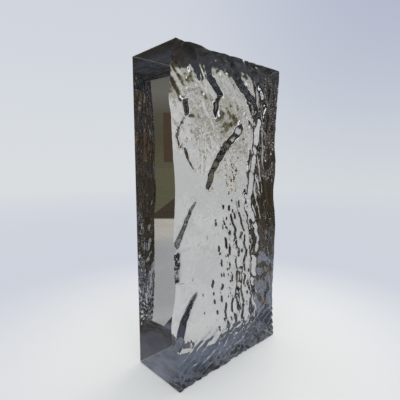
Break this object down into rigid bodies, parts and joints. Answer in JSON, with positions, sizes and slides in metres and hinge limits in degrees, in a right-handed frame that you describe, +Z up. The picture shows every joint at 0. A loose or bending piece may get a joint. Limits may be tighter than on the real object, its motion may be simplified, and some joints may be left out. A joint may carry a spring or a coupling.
{
  "type": "solid glass block",
  "caption": "Solid clear cast glass block for walls and partitions, with one deeply textured face and smooth clear sides.",
  "frame": {"origin": "middle of the bottom end, on the floor the block stands on", "axes": "+Z up the length of the block as it stands on one end, +X across its width, +Y through its thickness from the relief face to the smooth back face"},
  "size_m": [0.096, 0.042, 0.2],
  "materials": {
    "glass": "clear cast glass, polished on the sides, rippled and torn on the relief face, fine ground on the two ends"
  },
  "bodies": {
    "root": {"glass_block": "glass"}
  },
  "joints": []
}
